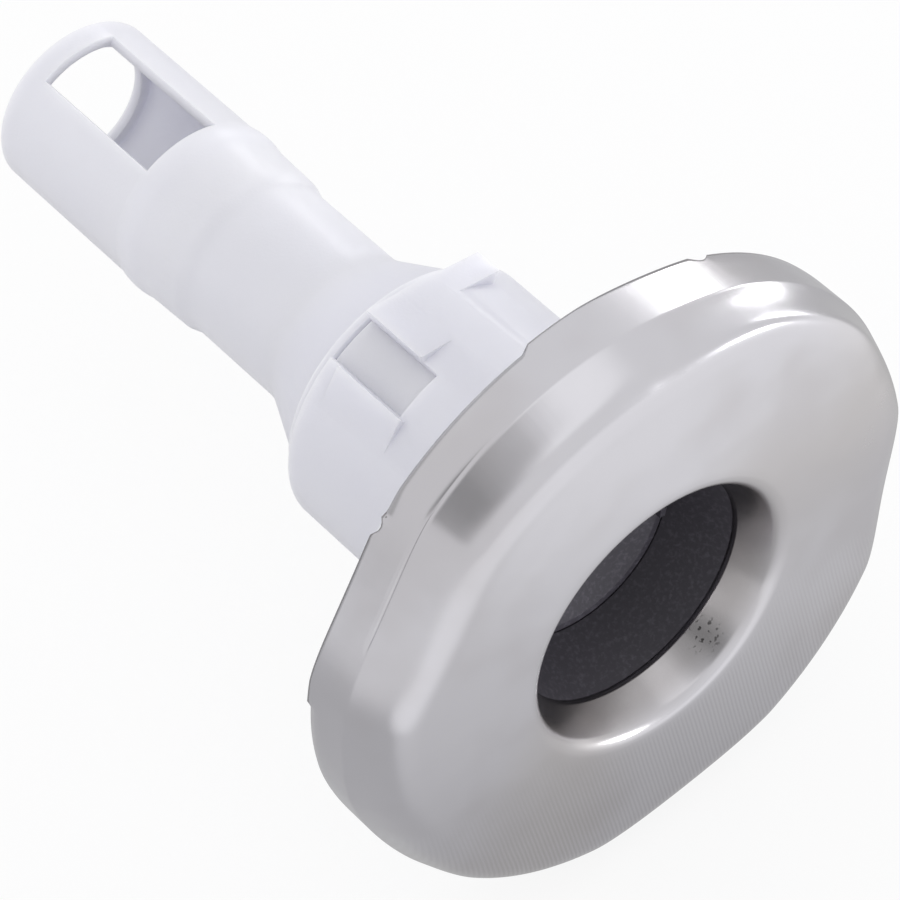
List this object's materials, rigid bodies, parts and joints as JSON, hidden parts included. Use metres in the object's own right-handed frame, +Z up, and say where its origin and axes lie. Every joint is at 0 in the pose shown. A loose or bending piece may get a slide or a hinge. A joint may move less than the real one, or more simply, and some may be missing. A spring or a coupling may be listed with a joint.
{
  "type": "hot tub jet internal",
  "caption": "Hot tub jet internal: a lobed steel escutcheon over a swivelling nozzle, with a translucent flow barrel and a locking ring behind it.",
  "frame": {"origin": "on the jet axis, in the plane where the face's back rim meets the tub wall", "axes": "+Y to the rear along the jet axis, +Z up through a lobe and the barrel's window, +X to the right seen from in front"},
  "size_m": [0.0846, 0.1157, 0.0842],
  "materials": {
    "steel": "thin stamped stainless steel, satin face and bright rolled edges",
    "clear_plastic": "milky, slightly translucent natural polypropylene",
    "dark_plastic": "fine matte graphite moulding",
    "grey_plastic": "matte grey moulding",
    "acetal": "smooth white bearing plastic",
    "seal_rubber": "black cord rubber"
  },
  "bodies": {
    "ring": {"retaining_ring": "clear_plastic"},
    "face": {"escutcheon": "steel", "face_plate": "clear_plastic", "nozzle_housing": "dark_plastic", "friction_o_ring": "seal_rubber", "nozzle_retainer": "acetal", "barrel": "clear_plastic", "barrel_o_ring": "seal_rubber", "thrust_washer": "acetal"},
    "seat": {"nozzle_seat": "acetal"},
    "nozzle": {"nozzle": "grey_plastic"}
  },
  "joints": [
    {"name": "flow_turn", "type": "hinge", "parent": "ring", "child": "face", "pos_m": [0, 0, 0], "axis": [0, 1, 0], "range_deg": [0, 90]},
    {"name": "seat_spin", "type": "hinge", "parent": "face", "child": "seat", "pos_m": [0, 0.0053, 0], "axis": [0, 1, 0], "continuous": true},
    {"name": "nozzle_tilt", "type": "hinge", "parent": "seat", "child": "nozzle", "pos_m": [0, 0.0053, 0], "axis": [1, 0, 0], "range_deg": [-12, 12]}
  ]
}
